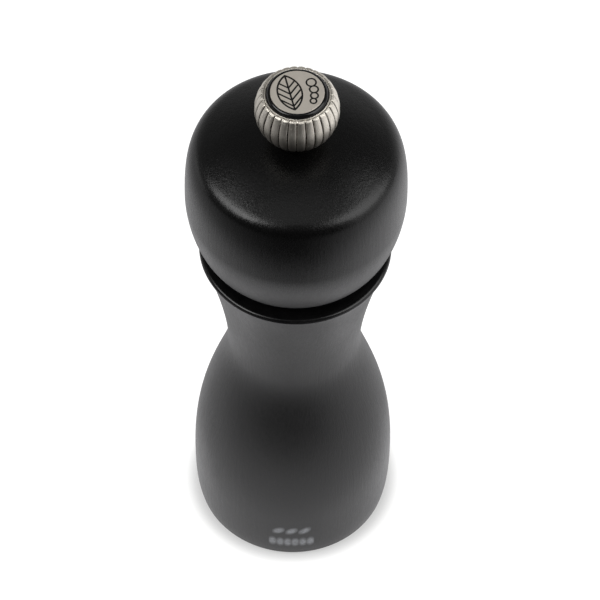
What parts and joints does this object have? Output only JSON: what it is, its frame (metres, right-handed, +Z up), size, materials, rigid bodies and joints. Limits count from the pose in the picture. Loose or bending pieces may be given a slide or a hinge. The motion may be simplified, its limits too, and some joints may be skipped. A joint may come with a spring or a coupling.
{
  "type": "pepper mill",
  "caption": "Manual pepper mill: turned black body and head, fluted metal adjusting knob, conical steel grinder on a square shaft.",
  "frame": {"origin": "centre of the flat base, on the surface the mill stands on", "axes": "+Z up along the drive shaft, through the knob; the emblem on the knob reads upright from the -Y side"},
  "size_m": [0.0486, 0.0484, 0.1502],
  "materials": {
    "lacquered_wood": "black lacquer, satin",
    "black_plastic": "glossy",
    "antique_metal": "cast zinc, antique pewter plating, dark in the grooves",
    "medallion_metal": "satin pewter",
    "enamel": "black enamel in the engraving",
    "bright_steel": "drawn, zinc plated",
    "hardened_steel": "case-hardened, dark grey",
    "spring_steel": "drawn wire"
  },
  "bodies": {
    "base": {"mill_body": "lacquered_wood", "neck_ring": "black_plastic", "grinding_stator": "hardened_steel", "guide_bridge": "bright_steel", "bridge_rivets": "bright_steel", "retaining_plate": "bright_steel", "retaining_screws": "bright_steel"},
    "spindle": {"spring_seat": "bright_steel", "spring": "spring_steel"},
    "shaft": {"drive_shaft": "bright_steel", "grinding_rotor": "hardened_steel", "rotor_washer": "bright_steel", "rotor_nut": "bright_steel"},
    "head": {"mill_head": "lacquered_wood", "drive_plate": "bright_steel", "drive_plate_screws": "bright_steel"},
    "knob": {"adjusting_knob": "antique_metal", "knob_insert": "black_plastic", "knob_medallion": "medallion_metal", "medallion_enamel": "enamel"}
  },
  "joints": [
    {"name": "mill_turn", "type": "hinge", "parent": "base", "child": "spindle", "pos_m": [0, 0, 0], "axis": [0, 0, 1], "continuous": true},
    {"name": "shaft_lift", "type": "slide", "parent": "spindle", "child": "shaft", "axis": [0, 0, 1], "range_m": [-0.0008, 0.0004], "deforming": ["spring"]},
    {"name": "head_lift", "type": "slide", "parent": "spindle", "child": "head", "axis": [0, 0, 1], "range_m": [0, 0.062]},
    {"name": "knob_turn", "type": "hinge", "parent": "head", "child": "knob", "pos_m": [0, 0, 0.14], "axis": [0, 0, 1], "range_deg": [-180, 360]}
  ],
  "couplings": [
    {"joint": "knob_turn", "follows": "shaft_lift", "rad_per_m": -7854}
  ]
}
